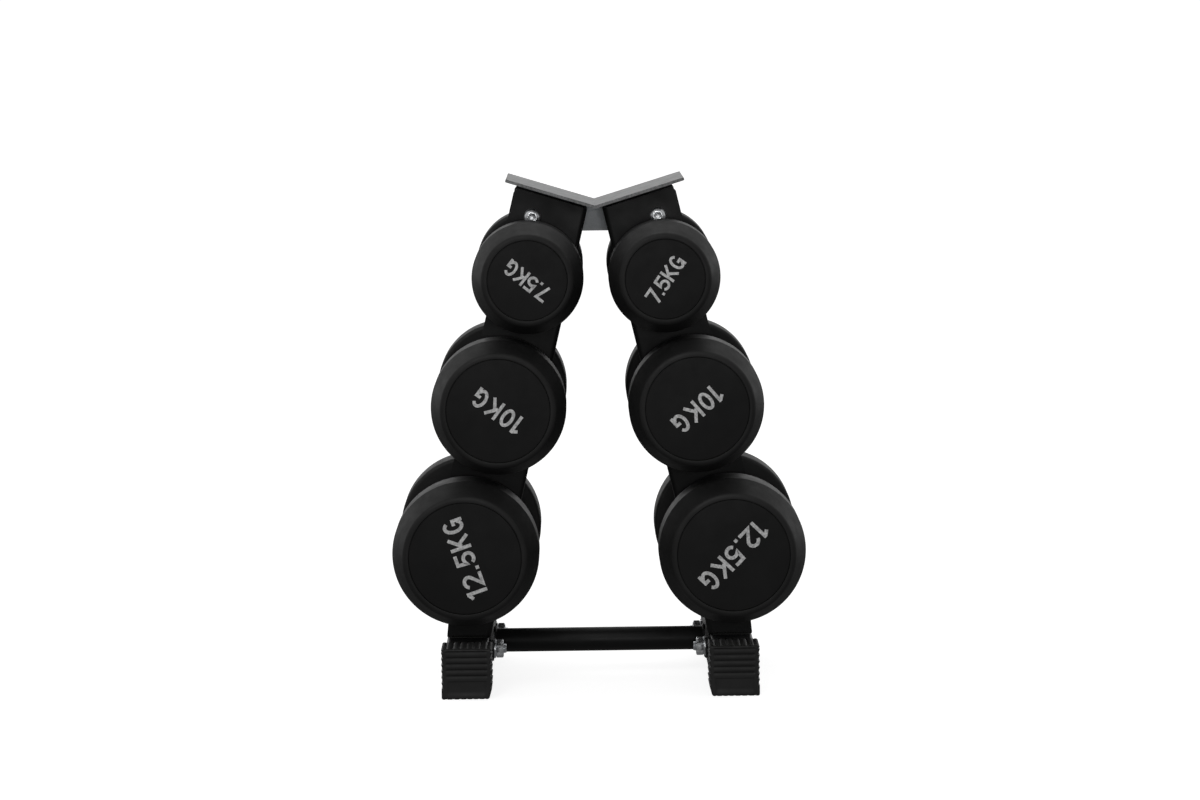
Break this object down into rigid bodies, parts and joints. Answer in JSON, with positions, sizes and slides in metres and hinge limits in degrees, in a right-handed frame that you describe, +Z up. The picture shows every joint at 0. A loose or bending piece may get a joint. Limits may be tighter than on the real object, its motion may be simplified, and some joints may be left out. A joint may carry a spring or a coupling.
{
  "type": "dumbbell rack",
  "caption": "Compact A-frame dumbbell rack: leaning channel uprights with open cradles holding pairs of round rubber-head dumbbells, V-shaped top plate and rubber-shod base tubes.",
  "frame": {"origin": "on the floor, midway between the four feet", "axes": "+X to the right seen from the front, +Y to the back, +Z up"},
  "size_m": [0.422, 0.26, 0.5283],
  "materials": {
    "frame_black": "satin black powder coat",
    "bracket_grey": "fine grey hammertone powder coat",
    "bright_zinc": "bright zinc plate",
    "boot_rubber": "moulded matt rubber",
    "head_rubber": "satin moulded rubber",
    "disc_rubber": "fine matt rubber",
    "handle_steel": "satin chrome with fine knurling",
    "core_iron": "raw casting"
  },
  "bodies": {
    "rack": {"crossbar": "frame_black", "v_plate": "bracket_grey", "tie_plate": "bracket_grey", "top_bolts": "bright_zinc", "top_washers": "bright_zinc", "top_spacers": "bright_zinc", "top_nuts": "bright_zinc", "base_bolts": "bright_zinc", "base_washers": "bright_zinc", "base_nuts": "bright_zinc", "left_upright": "frame_black", "left_base_tube": "frame_black", "left_bar_flange": "frame_black", "left_front_boot": "boot_rubber", "left_rear_boot": "boot_rubber", "right_upright": "frame_black", "right_base_tube": "frame_black", "right_bar_flange": "frame_black", "right_front_boot": "boot_rubber", "right_rear_boot": "boot_rubber"},
    "left_upper_dumbbell": {"left_upper_handle": "handle_steel", "left_upper_iron_cores": "core_iron", "left_upper_front_head": "head_rubber", "left_upper_rear_head": "head_rubber", "left_upper_end_discs": "disc_rubber"},
    "left_middle_dumbbell": {"left_middle_handle": "handle_steel", "left_middle_iron_cores": "core_iron", "left_middle_front_head": "head_rubber", "left_middle_rear_head": "head_rubber", "left_middle_end_discs": "disc_rubber"},
    "left_lower_dumbbell": {"left_lower_handle": "handle_steel", "left_lower_iron_cores": "core_iron", "left_lower_front_head": "head_rubber", "left_lower_rear_head": "head_rubber", "left_lower_end_discs": "disc_rubber"},
    "right_upper_dumbbell": {"right_upper_handle": "handle_steel", "right_upper_iron_cores": "core_iron", "right_upper_front_head": "head_rubber", "right_upper_rear_head": "head_rubber", "right_upper_end_discs": "disc_rubber"},
    "right_middle_dumbbell": {"right_middle_handle": "handle_steel", "right_middle_iron_cores": "core_iron", "right_middle_front_head": "head_rubber", "right_middle_rear_head": "head_rubber", "right_middle_end_discs": "disc_rubber"},
    "right_lower_dumbbell": {"right_lower_handle": "handle_steel", "right_lower_iron_cores": "core_iron", "right_lower_front_head": "head_rubber", "right_lower_rear_head": "head_rubber", "right_lower_end_discs": "disc_rubber"}
  },
  "joints": [
    {"name": "left_upper_lift", "type": "slide", "parent": "rack", "child": "left_upper_dumbbell", "axis": [-0.9063, 0, 0.4226], "range_m": [0, 0.2]},
    {"name": "left_middle_lift", "type": "slide", "parent": "rack", "child": "left_middle_dumbbell", "axis": [-0.9063, 0, 0.4226], "range_m": [0, 0.2]},
    {"name": "left_lower_lift", "type": "slide", "parent": "rack", "child": "left_lower_dumbbell", "axis": [-0.9063, 0, 0.4226], "range_m": [0, 0.2]},
    {"name": "right_upper_lift", "type": "slide", "parent": "rack", "child": "right_upper_dumbbell", "axis": [0.9063, 0, 0.4226], "range_m": [0, 0.2]},
    {"name": "right_middle_lift", "type": "slide", "parent": "rack", "child": "right_middle_dumbbell", "axis": [0.9063, 0, 0.4226], "range_m": [0, 0.2]},
    {"name": "right_lower_lift", "type": "slide", "parent": "rack", "child": "right_lower_dumbbell", "axis": [0.9063, 0, 0.4226], "range_m": [0, 0.2]}
  ]
}
